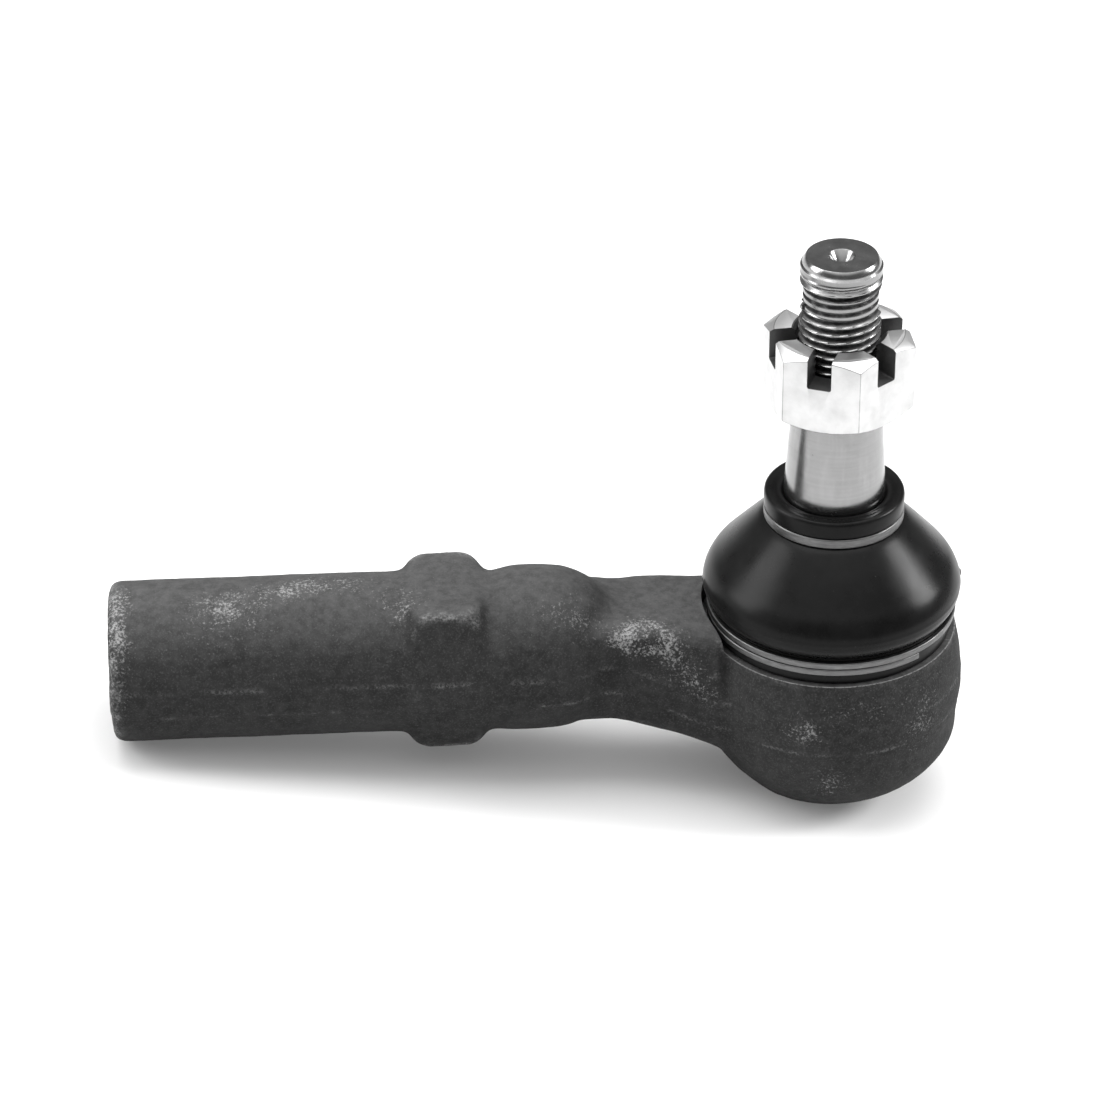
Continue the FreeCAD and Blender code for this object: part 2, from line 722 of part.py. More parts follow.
def bearing_upper():
    """The upper half of the bearing, under the housing's shoulder."""
    body = new_body("bearing_upper")
    centre = -size("BallCentre")
    ball = size("BallRadius") + size("BearingGap")
    top = centre + size("SeatTop") - size("ShoulderFit")
    opening = size("SeatOpening")
    drop = size("SeatSplit") - size("HalfSplitGap")
    outer = size("BearingRadius") - size("BoreFit")
    contact = centre + root(ball * ball - opening * opening)
    turned(body, "upper_seat_profile", [
        (root(ball * ball - drop * drop), centre - drop),
        (outer, centre - drop),
        (outer, top),
        (opening + size("BearingLand"), top),
        (opening, contact, -ball),
    ])
    return body


def bearing_lower():
    """The cup-shaped lower half of the bearing."""
    body = new_body("bearing_lower")
    centre = -size("BallCentre")
    ball = size("BallRadius") + size("BearingGap")
    drop = size("SeatSplit") + size("HalfSplitGap")
    outer = size("BearingRadius") - size("BoreFit")
    bottom = centre - size("SeatBottom") + size("FaceFit")
    well = size("BearingWell")
    chamfer = size("BearingChamfer")
    turned(body, "lower_seat_profile", [
        (root(ball * ball - drop * drop), centre - drop, -ball),
        (well, centre - root(ball * ball - well * well)),
        (well, bottom),
        (outer - chamfer, bottom),
        (outer, bottom + chamfer),
        (outer, centre - drop),
    ])
    return body


def preload_washer():
    """The coned spring washer that keeps the bearing tight on the ball."""
    body = new_body("preload_washer")
    high = -size("BallCentre") - size("SeatBottom")
    low = high - size("SpringHeight") + size("FaceFit")
    thick = size("SpringThickness")
    turned(body, "washer_profile", [
        ("SpringInner", high - thick),
        ("SpringInner", high),
        ("SpringOuter", low + thick),
        ("SpringOuter", low),
    ])
    return body


def cover_plate():
    """The dished plate that the housing's lip is rolled over."""
    body = new_body("cover_plate")
    top = -size("BallCentre") - size("SeatBottom") - size("SpringHeight")
    bottom = top - size("CoverThickness") + size("FaceFit")
    dish = size("CoverDish")
    floor = size("DishFloor")
    slope = size("DishSlope")
    inner_step = size("DishStep")
    outer = size("CoverRadius") - size("BoreFit")
    turned(body, "cover_profile", [
        (0, bottom - dish),
        (floor, bottom - dish),
        (floor + slope, bottom),
        (outer, bottom),
        (outer, top),
        (floor + slope + inner_step, top),
        (floor + inner_step, top - dish),
        (0, top - dish),
    ])
    return body


builders = [
    housing, ball_stud, castle_nut, dust_boot, boot_ring_upper, boot_ring_lower,
    bearing_upper, bearing_lower, preload_washer, cover_plate,
]
bodies = [build() for build in builders]
doc.recompute()

for item in doc.Objects:
    bad = [state for state in item.State if state in ("Invalid", "Error")]
    if bad:
        raise RuntimeError("%s is %s" % (item.Name, bad))
for body in bodies:
    if body.Shape.isNull() or not body.Shape.isValid():
        raise RuntimeError(body.Label + " has no valid shape")

os.makedirs("parts", exist_ok=True)
for body in bodies:
    body.Shape.exportStep("parts/%s.step" % body.Label)
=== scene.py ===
import json
import math

import bmesh
import bpy
import numpy as np
from mathutils import Matrix, Vector, noise


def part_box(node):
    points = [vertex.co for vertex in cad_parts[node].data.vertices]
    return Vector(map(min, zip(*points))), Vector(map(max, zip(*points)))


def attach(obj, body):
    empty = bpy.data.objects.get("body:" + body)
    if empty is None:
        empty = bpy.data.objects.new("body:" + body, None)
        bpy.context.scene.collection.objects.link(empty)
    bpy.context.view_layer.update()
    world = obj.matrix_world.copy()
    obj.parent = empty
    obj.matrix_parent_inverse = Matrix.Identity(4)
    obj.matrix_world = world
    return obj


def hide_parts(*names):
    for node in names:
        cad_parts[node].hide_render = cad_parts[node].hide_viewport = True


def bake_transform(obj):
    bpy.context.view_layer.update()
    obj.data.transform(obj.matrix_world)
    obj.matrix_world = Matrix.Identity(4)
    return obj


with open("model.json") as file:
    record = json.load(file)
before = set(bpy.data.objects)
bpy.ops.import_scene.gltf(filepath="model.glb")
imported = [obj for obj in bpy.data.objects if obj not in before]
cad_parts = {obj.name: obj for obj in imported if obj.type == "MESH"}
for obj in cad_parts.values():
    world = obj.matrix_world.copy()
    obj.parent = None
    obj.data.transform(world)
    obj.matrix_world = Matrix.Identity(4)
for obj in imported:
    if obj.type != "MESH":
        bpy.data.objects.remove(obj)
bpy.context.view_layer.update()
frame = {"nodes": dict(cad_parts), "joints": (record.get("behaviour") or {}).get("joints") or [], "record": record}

# Shapes are drawn in millimetres. Round pieces are drawn about the stud's axis, with height zero on
# the sleeve's axis, and STUD_AXIS carries them into the frame. The housing is drawn in the frame.
MM = 0.001
scene = bpy.context.scene
joint_of = {joint["name"]: joint for joint in frame["joints"]}
mount_of = {mount["name"]: mount for mount in frame["record"]["mounts"]}
AXIS_X = joint_of["swivel"]["pos_m"][0]
STUD_AXIS = np.array((AXIS_X / MM, 0.0, 0.0))
BALL_Z = joint_of["swivel"]["pos_m"][2] / MM


# ---------------------------------------------------------------- camera, floor and light

def aim(thing, place, target, roll=0.0):
    """Points a camera or lamp at a target, with a roll in degrees about its own sight line."""
    thing.rotation_mode = "QUATERNION"
    turn = (Vector(target) - Vector(place)).to_track_quat("-Z", "Y")
    thing.location = place
    thing.rotation_quaternion = turn @ Matrix.Rotation(math.radians(roll), 4, "Z").to_quaternion()


def make_camera():
    data = bpy.data.cameras.new("camera")
    camera = bpy.data.objects.new("camera", data)
    scene.collection.objects.link(camera)
    data.sensor_width = 36.0
    data.lens = 145.6
    data.clip_start = 0.05
    data.clip_end = 20.0
    azimuth, elevation = math.radians(2.95), math.radians(32.42)
    distance, roll = 0.76727, -0.4
    target = Vector((AXIS_X - 0.04896, 0.0, 0.01977))
    back = Vector((
        -math.sin(azimuth) * math.cos(elevation),
        -math.cos(azimuth) * math.cos(elevation),
        math.sin(elevation),
    ))
    aim(camera, target + back * distance, target, roll)
    scene.camera = camera


def make_floor():
    """A pale, faintly back-lit table that touches the head and the sleeve's open end."""
    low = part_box("housing")[0]
    sleeve_radius, reach, gap = 0.014, 4.0, 0.0002
    contact = AXIS_X - 0.0132
    tilt = math.atan((-sleeve_radius - low.z) / (contact - low.x))
    mesh = bpy.data.meshes.new("floor")
    mesh.from_pydata(
        [(-reach, -reach, 0), (reach, -reach, 0), (reach, reach, 0), (-reach, reach, 0)],
        [], [(0, 1, 2, 3)],
    )
    floor = bpy.data.objects.new("floor", mesh)
    scene.collection.objects.link(floor)
    floor.rotation_euler = (0, tilt, 0)
    floor.location = (contact, 0, low.z - gap)
    material = bpy.data.materials.new("floor_paint")
    material.use_nodes = True
    shader = material.node_tree.nodes["Principled BSDF"]
    shader.inputs["Base Color"].default_value = (0.66, 0.66, 0.66, 1)
    shader.inputs["Roughness"].default_value = 0.9
    shader.inputs["Specular IOR Level"].default_value = 0.1
    shader.inputs["Emission Color"].default_value = (1, 1, 1, 1)
    shader.inputs["Emission Strength"].default_value = 0.13
    mesh.materials.append(material)


def make_light(name, place, target, width, height, power):
    data = bpy.data.lights.new(name, "AREA")
    data.shape = "RECTANGLE"
    data.size = width
    data.size_y = height
    data.energy = power
    lamp = bpy.data.objects.new(name, data)
    scene.collection.objects.link(lamp)
    aim(lamp, Vector(place), Vector(target))


def make_world(low_strength, high_strength, low_height, high_height):
    """A plain studio: dim walls that brighten into a white ceiling."""
    world = bpy.data.worlds.new("studio")
    world.use_nodes = True
    nodes, links = world.node_tree.nodes, world.node_tree.links
    background = nodes["Background"]
    background.inputs["Color"].default_value = (1, 1, 1, 1)
    direction = nodes.new("ShaderNodeTexCoord")
    split = nodes.new("ShaderNodeSeparateXYZ")
    rise = nodes.new("ShaderNodeMapRange")
    rise.interpolation_type = "SMOOTHSTEP"
    rise.inputs["From Min"].default_value = low_height
    rise.inputs["From Max"].default_value = high_height
    rise.inputs["To Min"].default_value = low_strength
    rise.inputs["To Max"].default_value = high_strength
    links.new(direction.outputs["Generated"], split.inputs[0])
    links.new(split.outputs["Z"], rise.inputs["Value"])
    links.new(rise.outputs["Result"], background.inputs["Strength"])
    scene.world = world


make_camera()
make_floor()
make_world(low_strength=0.2, high_strength=1.5, low_height=0.48, high_height=0.85)
centre = (AXIS_X - 0.045, 0.0, 0.0)
make_light("top", (AXIS_X - 0.06, 0.10, 0.95), centre, 1.1, 0.8, 7.5)
make_light("left", (AXIS_X - 0.95, 0.05, 0.55), centre, 0.5, 0.7, 8.0)
make_light("right", (AXIS_X + 0.95, 0.05, 0.5), centre, 0.3, 0.4, 11.0)
scene.view_settings.view_transform = "Standard"
scene.view_settings.look = "None"


# ---------------------------------------------------------------- outlines and meshes

def fillet(corners, steps=4, closed=False):
    """An outline of (radius, height) points, from corners that may add the size of their rounding."""
    points = []
    last = len(corners) - 1
    for index, corner in enumerate(corners):
        here = np.array(corner[:2], float)
        rounding = corner[2] if len(corner) == 3 else 0.0
        if rounding == 0.0 or (not closed and index in (0, last)):
            points.append(here)
            continue
        before = np.array(corners[index - 1][:2], float) - here
        after = np.array(corners[(index + 1) % len(corners)][:2], float) - here
        start = here + before / np.linalg.norm(before) * rounding
        end = here + after / np.linalg.norm(after) * rounding
        for share in np.linspace(0.0, 1.0, steps + 1):
            points.append((1 - share) ** 2 * start + 2 * share * (1 - share) * here + share ** 2 * end)
    return np.array(points)


def flowing(points, steps=6):
    """A smooth line through the points."""
    knots = np.array([points[0], *points, points[-1]], float)
    line = []
    for a, b, c, d in zip(knots[:-3], knots[1:-2], knots[2:-1], knots[3:]):
        for share in np.linspace(0.0, 1.0, steps, endpoint=False):
            bend = (2 * a - 5 * b + 4 * c - d) * share ** 2 + (3 * b - a - 3 * c + d) * share ** 3
            line.append(b + 0.5 * ((c - a) * share + bend))
    line.append(knots[-2])
    return np.array(line)


def full_turn(around):
    return np.linspace(0.0, 2.0 * math.pi, around, endpoint=False)


def ring_at(angle, radius, height):
    """A ring of points about Z. The radius may be one number, or one for each angle."""
    return np.stack([radius * np.cos(angle), radius * np.sin(angle), np.full(len(angle), height)], axis=1)


def turned(outline, around=128):
    """The rings of a lathe, one for each (radius, height) of the outline."""
    angle = full_turn(around)
    return np.array([ring_at(angle, radius, height) for radius, height in outline])


def along_sleeve(rings):
    """Lays rings drawn about Z along the sleeve's axis, with their height as X."""
    return rings[:, :, [2, 1, 0]] * np.array((1.0, -1.0, 1.0))


def skin(name, rings, loop=False, offset=STUD_AXIS):
    """A mesh over rings of points in millimetres. A loop joins its last ring to its first."""
    rings = np.asarray(rings)
    count, around = rings.shape[:2]
    points = (rings.reshape(-1, 3) + offset) * MM
    faces = []
    for row in range(count if loop else count - 1):
        low = row * around
        high = ((row + 1) % count) * around
        for step in range(around):
            following = (step + 1) % around
            faces.append((low + step, low + following, high + following, high + step))
    if not loop:
        faces.append(tuple(reversed(range(around))))
        faces.append(tuple(range((count - 1) * around, count * around)))
    mesh = bpy.data.meshes.new(name)
    mesh.from_pydata(points.tolist(), [], faces)
    mesh.validate()
    piece = bpy.data.objects.new(name, mesh)
    scene.collection.objects.link(piece)
    return piece


def apply_modifiers(piece):
    graph = bpy.context.evaluated_depsgraph_get()
    graph.update()
    mesh = bpy.data.meshes.new_from_object(piece.evaluated_get(graph))
    old = piece.data
    piece.modifiers.clear()
    piece.data = mesh
    bpy.data.meshes.remove(old)


def weld(piece, flat_degrees=0.0):
    """Joins doubled points. With an angle, faces that lie that flat to each other become one."""
    work = bmesh.new()
    work.from_mesh(piece.data)
    bmesh.ops.remove_doubles(work, verts=work.verts, dist=1e-6)
    if flat_degrees:
        bmesh.ops.dissolve_limit(
            work, angle_limit=math.radians(flat_degrees), verts=work.verts, edges=work.edges)
    work.to_mesh(piece.data)
    work.free()


def combine(piece, tool, operation):
    """A boolean of two closed meshes: UNION, DIFFERENCE or INTERSECT. The tool is used up."""
    modifier = piece.modifiers.new("combine", "BOOLEAN")
    modifier.solver = "MANIFOLD"
    modifier.operation = operation
    modifier.object = tool
    apply_modifiers(piece)
    bpy.data.objects.remove(tool)


def soften(piece, sharp_degrees):
    """Smooth shading that keeps edges sharper than an angle."""
    piece.data.shade_smooth()
    piece.data.set_sharp_from_angle(angle=math.radians(sharp_degrees))


def bevel(piece, width):
    modifier = piece.modifiers.new("bevel", "BEVEL")
    modifier.width = width * MM
    modifier.segments = 2
    modifier.limit_method = "ANGLE"
    modifier.angle_limit = math.radians(25.0)
    modifier.use_clamp_overlap = True
    apply_modifiers(piece)


def smoothstep(value, low, high):
    share = np.clip((value - low) / (high - low), 0.0, 1.0)
    return share * share * (3.0 - 2.0 * share)


def thread_groove(angle, height, pitch, crest_share=0.16, root_share=0.8):
    """How deep a right-hand thread is cut, from 0 on its crest to 1 at its root."""
    turn = (height / pitch - angle / (2.0 * math.pi)) % 1.0
    away = np.abs((turn + 0.5) % 1.0 - 0.5) * 2.0
    return np.clip((away - crest_share) / (root_share - crest_share), 0.0, 1.0)


# ---------------------------------------------------------------- housing

HOUSING_VOXEL = 0.52
SMOOTHING_PASSES, QUICK_PASSES = 92, 36
SLEEVE_PITCH = 1.5
SLEEVE_MINOR = mount_of["sleeve_thread"]["dims"]["r_mm"]
SLEEVE_DEPTH = mount_of["sleeve_thread"]["dims"]["length_mm"]
SLEEVE_MAJOR = 9.0
RIM_RADIUS = 21.7
RIM_HEIGHT = 3.75
FLASH_LINES = ((2.0, -3.2), (-4.6, -9.6))
FLASH_DROP = (84.0, 104.0)


def vertex_array(mesh):
    points = np.empty(len(mesh.vertices) * 3, np.float32)
    mesh.vertices.foreach_get("co", points)
    return points.reshape(-1, 3).astype(float) / MM


def normal_array(mesh):
    normals = np.empty(len(mesh.vertices) * 3, np.float32)
    mesh.vertices.foreach_get("normal", normals)
    return normals.reshape(-1, 3).astype(float)


def set_vertices(mesh, points):
    mesh.vertices.foreach_set("co", (points * MM).astype(np.float32).ravel())
    mesh.update()


def edge_array(mesh):
    edges = np.empty(len(mesh.edges) * 2, np.int32)
    mesh.edges.foreach_get("vertices", edges)
    return edges.reshape(-1, 2)


def neighbour_mean(values, edges, count):
    """The mean of each vertex's neighbours."""
    values = values.reshape(count, -1)
    total = np.zeros_like(values)
    ends = np.concatenate([edges[:, 0], edges[:, 1]])
    others = np.concatenate([edges[:, 1], edges[:, 0]])
    degree = np.maximum(np.bincount(ends, minlength=count), 1)
    for column in range(values.shape[1]):
        total[:, column] = np.bincount(ends, weights=values[others, column], minlength=count)
    return total / degree[:, None]


def flash_height(x, which):
    """The height of the upper (0) or lower (1) edge of the trimmed flash, along the part."""
    on_sleeve = FLASH_LINES[0][which]
    on_head = FLASH_LINES[1][which]
    return on_sleeve + (on_head - on_sleeve) * smoothstep(x, *FLASH_DROP)


def fill_hollows():
    """A copy of the CAD housing with its bores filled, so that only the forging's skin is left."""
    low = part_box("housing")[0]
    bottom, mouth = low.z / MM, low.x / MM
    piece = bpy.data.objects.new("housing_forging", frame["nodes"]["housing"].data.copy())
    scene.collection.objects.link(piece)
    piece.data.materials.clear()
    weld(piece)
    head = turned([
        (0.01, bottom), (12.7, bottom), (13.3, -23.4), (16.9, -23.3), (16.9, 0.0), (RIM_RADIUS, 0.5),
        (RIM_RADIUS, 8.2), (0.01, 8.2),
    ])
    combine(piece, skin("head_fill", head), "UNION")
    sleeve = turned([(0.01, mouth), (10.5, mouth), (10.5, 70.0), (0.01, 70.0)])
    combine(piece, skin("sleeve_fill", along_sleeve(sleeve), offset=np.zeros(3)), "UNION")
    return piece


def forged_skin(piece):
    """Turns the filled housing into a forging: soft edges, wide fillets and an uneven skin."""
    modifier = piece.modifiers.new("voxels", "REMESH")
    modifier.mode = "VOXEL"
    modifier.voxel_size = HOUSING_VOXEL * MM * 1.0
    apply_modifiers(piece)
    mesh = piece.data
    points = vertex_array(mesh)
    edges = edge_array(mesh)
    count = len(points)
    x, y, z = points.T
    from_axis = np.hypot(x - STUD_AXIS[0], y)
    root = np.exp(-((from_axis - 23.5) / 4.5) ** 2) * smoothstep(-x, -112.0, -100.0)
    throat = np.exp(-((x - 86.5) / 3.5) ** 2)
    band = np.exp(-((x - 49.9) / 2.5) ** 2) + np.exp(-((x - 63.3) / 2.5) ** 2)
    rate = np.clip(0.045 + 0.5 * root + 0.3 * throat + 0.06 * band, 0.0, 0.6)[:, None]
    for _ in range(SMOOTHING_PASSES):
        points += rate * (neighbour_mean(points, edges, count) - points)
    shape_by_eye(points)
    set_vertices(mesh, points)
    normals = normal_array(mesh)
    x, y, z = points.T
    upper, lower = flash_height(x, 0), flash_height(x, 1)
    flash = smoothstep(z, lower - 0.25, lower + 0.25)
    flash *= 1.0 - smoothstep(z, upper - 0.25, upper + 0.25)
    height = 0.1 * flash
    for index in range(count):
        place = Vector(points[index])
        height[index] += 0.10 * noise.noise(place * 0.11) + 0.05 * noise.noise(place * 0.45)
        height[index] += 0.022 * noise.noise(place * 1.3)
    set_vertices(mesh, points + normals * height[:, None])


def shape_by_eye(points):
    """Small departures of the real forging from the plain CAD shape, all under 1 mm."""
    x, y, z = points.T
    from_axis = np.hypot(x - STUD_AXIS[0], y)
    pinch = 0.6 * np.exp(-((x - 64.8) / 2.6) ** 2) * smoothstep(z, 4.0, 12.0)
    points[:, 1:] *= (1.0 - pinch / np.maximum(np.hypot(y, z), 8.0))[:, None]
    lift = smoothstep(x, 79.0, 85.0) * (1.0 - smoothstep(x, 104.0, 110.0)) * smoothstep(z, 2.0, 7.0)
    points[:, 2] += 0.42 * lift
    under = smoothstep(-z, 12.0, 19.0) * smoothstep(from_axis, 14.0, 18.0) * smoothstep(x, 98.0, 108.0)
    points[:, 0] += 0.8 * under
    points[:, 2] += 0.45 * under


def sleeve_bore_tool():
    """The sleeve's thread with its countersunk mouth, and the pilot hole beyond it."""
    angle = full_turn(72)
    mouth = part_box("housing")[0].x / MM
    drill_radius, drill_end, point_length = 7.6, 64.5, 4.6
    rings = []
    depths = [mouth - 2.0, *np.arange(mouth, SLEEVE_DEPTH - 1.0, 0.19), SLEEVE_DEPTH]
    for depth in depths:
        groove = 1.0 - thread_groove(angle, depth, SLEEVE_PITCH)
        fade = smoothstep(SLEEVE_DEPTH - depth, 0.0, 2.0)
        radius = SLEEVE_MINOR + (SLEEVE_MAJOR - SLEEVE_MINOR) * groove * fade
        rings.append(ring_at(angle, np.maximum(radius, SLEEVE_MINOR - depth), depth))
    for depth, radius in (
        (SLEEVE_DEPTH + 0.1, drill_radius), (drill_end, drill_radius), (drill_end + point_length, 0.05),
    ):
        rings.append(ring_at(angle, radius, depth))
    return skin("sleeve_bore", np.array(rings)[:, :, [2, 0, 1]], offset=np.zeros(3))


def head_tools():
    """The cuts that are machined in the head: the seat around the boot, and the cavity."""
    seat, collar, clear, wide = 19.0, 19.5, 14.2, 22.6
    spotface = turned(fillet([
        (seat, RIM_HEIGHT, 0.15), (wide, RIM_HEIGHT), (wide, clear), (collar, clear), (collar, 7.5),
        (seat, 7.0),
    ], closed=True), 160)
    yield skin("spotface", spotface, loop=True)
    collar_top = turned([(0.01, 8.2), (21.0, 8.2), (21.0, 14.5), (0.01, 14.5)], 160)
    yield skin("collar_top", collar_top)
    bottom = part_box("housing")[0].z / MM
    cover_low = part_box("bearing_lower")[0].z / MM - 4.1
    cover_high = cover_low + 3.0
    shoulder = BALL_Z + 6.5
    cavity = turned(fillet([
        (0.01, bottom - 2.0), (12.9, bottom - 2.0), (12.9, bottom - 0.05), (12.2, bottom + 0.7, 0.3),
        (12.8, cover_low), (16.4, cover_low), (16.4, cover_high), (15.2, cover_high),
        (15.2, shoulder, 0.3), (12.0, shoulder), (15.3, 8.2), (15.3, 16.0), (0.01, 16.0),
    ]), 128)
    yield skin("cavity", cavity)


def make_housing():
    piece = fill_hollows()
    forged_skin(piece)
    for tool in head_tools():
        combine(piece, tool, "DIFFERENCE")
    combine(piece, sleeve_bore_tool(), "DIFFERENCE")
    soften(piece, 40.0)
    mark_wear(piece)
    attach(piece, "housing")
    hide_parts("housing")
    return piece


def mark_wear(piece):
    """Stores where the dark skin is rubbed bright, and where the flash was trimmed."""
    mesh = piece.data
    points = vertex_array(mesh)
    normals = normal_array(mesh)
    edges = edge_array(mesh)
    count = len(points)
    across = points[edges[:, 0]] - points[edges[:, 1]]
    length = np.maximum(np.linalg.norm(across, axis=1), 0.05)
    turn = np.einsum("ij,ij->i", across, normals[edges[:, 0]] - normals[edges[:, 1]]) / length ** 2
    curve = np.zeros(count)
    share = np.zeros(count)
    for end in (0, 1):
        curve += np.bincount(edges[:, end], weights=np.clip(turn, -1.5, 1.5), minlength=count)
        share += np.bincount(edges[:, end], minlength=count)
    curve /= np.maximum(share, 1)
    for _ in range(6):
        curve = neighbour_mean(curve, edges, count)[:, 0]
    x, y, z = points.T
    from_axis = np.hypot(x - STUD_AXIS[0], y)
    store(mesh, "edge_wear", smoothstep(curve, 0.09, 0.28))
    patches = np.zeros(count)
    for place, size, strength in WEAR_PATCHES:
        reach = (points - np.array(place)) / np.array(size)
        patches += strength * np.exp(-np.einsum("ij,ij->i", reach, reach))
    store(mesh, "rubbed", np.clip(patches, 0.0, 1.0))
    line = np.zeros(count)
    for which in (0, 1):
        line += np.exp(-((z - flash_height(x, which)) / 0.3) ** 2)
    upright = np.abs(normals[:, 2]) < 0.75
    outside = (from_axis > 20.0) | (x < 106.0)
    line *= upright * outside * (np.hypot(y, z) > 8.9)
    store(mesh, "flash", np.clip(line, 0.0, 1.0))


def store(mesh, name, values):
    attribute = mesh.attributes.new(name, "FLOAT", "POINT")
    attribute.data.foreach_set("value", np.asarray(values, np.float32))


# Where handling has rubbed the forging: (place, size along X, Y and Z, strength).
WEAR_PATCHES = (
    ((0.0, -1.5, 14.0), (3.5, 5.0, 4.0), 1.0),
    ((0.0, -9.0, 10.5), (3.0, 5.0, 6.0), 0.8),
    ((-1.0, -13.0, 0.0), (2.5, 8.0, 9.0), 0.7),
    ((18.5, -4.5, 13.3), (7.0, 4.5, 4.0), 0.85),
    ((29.0, -1.0, 14.0), (6.0, 3.0, 4.0), 0.7),
    ((37.0, 1.0, 14.0), (8.0, 4.0, 4.0), 0.75),
    ((20.0, -10.0, 9.5), (18.0, 4.0, 5.0), 0.25),
    ((49.0, -6.0, 13.5), (5.0, 5.0, 4.0), 0.75),
    ((50.0, -6.0, -15.0), (4.0, 6.0, 4.0), 0.6),
    ((78.0, -7.0, 11.5), (7.0, 4.0, 5.0), 0.7),
    ((90.5, -10.0, 7.4), (5.5, 4.5, 3.0), 1.8),
    ((97.0, -12.0, 2.0), (5.0, 6.0, 4.0), 0.8),
    ((101.0, -11.0, -3.0), (3.0, 5.0, 3.0), 0.8),
    ((117.5, -22.0, -5.0), (4.0, 5.0, 3.5), 0.85),
    ((127.0, -22.5, -1.0), (5.0, 5.0, 3.0), 0.6),
    ((122.0, -22.0, -16.5), (4.0, 6.0, 5.0), 0.65),
    ((138.0, -18.0, -6.0), (6.0, 6.0, 9.0), 0.6),
    ((30.0, 9.0, -10.0), (18.0, 8.0, 6.0), 0.5),
    ((70.0, 12.0, 6.0), (10.0, 6.0, 8.0), 0.6),
    ((124.0, 21.0, -10.0), (12.0, 6.0, 7.0), 0.6),
    ((124.0, 0.0, -26.0), (20.0, 20.0, 3.0), 0.4),
)


# ---------------------------------------------------------------- stud and nut

STUD_PITCH = 1.5
THREAD_CREST = mount_of["stud_thread"]["dims"]["r_mm"]
THREAD_ROOT = 6.03
NUT_TURN = -20.8
SLOT_SHIFT = -2.2


def make_stud():
    """The ball stud: a lathe, with its thread's rings cut by the thread's own groove."""
    around = 128
    angle = full_turn(around)
    ball, flat, neck = 12.5, 11.6, 7.2
    low = -math.asin(flat / ball)
    high = math.acos(neck / ball)
    outline = [(0.4, BALL_Z - flat), (ball * math.cos(low) - 0.3, BALL_Z - flat)]
    for turn in np.linspace(low, high, 30):
        outline.append((ball * math.cos(turn), BALL_Z + ball * math.sin(turn)))
    outline += fillet([
        (neck, 4.4), (neck, 10.0, 2.0), (8.75, 20.0, 2.0), (8.75, 30.5, 1.0), (7.69, 47.4, 0.15),
        (7.05, 47.75, 0.2), (6.2, 48.0),
    ]).tolist()
    rings = list(turned(outline, around))
    nose_end, top = 73.5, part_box("ball_stud")[1].z / MM
    for height in np.arange(48.05, nose_end, 0.095):
        crest = np.interp(
            height, (48.05, 48.9, 66.1, 66.9, 70.1, 70.8), (6.2, 6.95, 6.95, 6.4, 6.4, 6.95))
        depth = np.interp(height, (48.6, 49.8, 70.8, 71.6, nose_end), (0.3, 1.0, 1.0, 0.6, 0.25))
        groove = thread_groove(angle, height, STUD_PITCH)
        radius = THREAD_CREST - (THREAD_CREST - THREAD_ROOT) * depth * groove
        rings.append(ring_at(angle, np.minimum(radius, crest), height))
    tip = fillet([
        (THREAD_CREST, nose_end), (THREAD_CREST, nose_end + 0.8), (6.62, top - 1.2), (6.6, top - 0.95),
        (6.09, top - 0.07), (6.0, top), (2.25, top), (2.15, top - 0.08), (0.88, top - 2.1),
        (0.88, top - 3.0), (0.1, top - 3.4),
    ])
    rings += list(turned(tip, around))
    piece = skin("stud_turned", rings)
    hole = turned([(0.02, -9.0), (2.4, -9.0), (2.4, -6.7), (1.9, -6.3), (1.9, 6.3), (2.4, 6.7),
                   (2.4, 9.0), (0.02, 9.0)], 48)
    hole_z = mount_of["cotter_hole"]["pos_m"][2] / MM
    hole = skin("cotter_hole", along_sleeve(hole), offset=STUD_AXIS + (0, 0, hole_z))
    combine(piece, hole, "DIFFERENCE")
    # How deep the thread's groove is at each point, stored for the painted shade in its roots.
    x, y, z = (vertex_array(piece.data) - STUD_AXIS).T
    cut = thread_groove(np.arctan2(y, x), z, STUD_PITCH)
    cut = smoothstep(cut, 0.1, 0.6) * (z > 48.4) * (np.hypot(x, y) > 5.5)
    cut *= 1.0 - 0.8 * smoothstep(z, 70.6, 72.4)
    cut *= z < nose_end
    store(piece.data, "thread_root", cut)
    soften(piece, 27.0)
    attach(piece, "stud")
    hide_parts("ball_stud")
    return piece


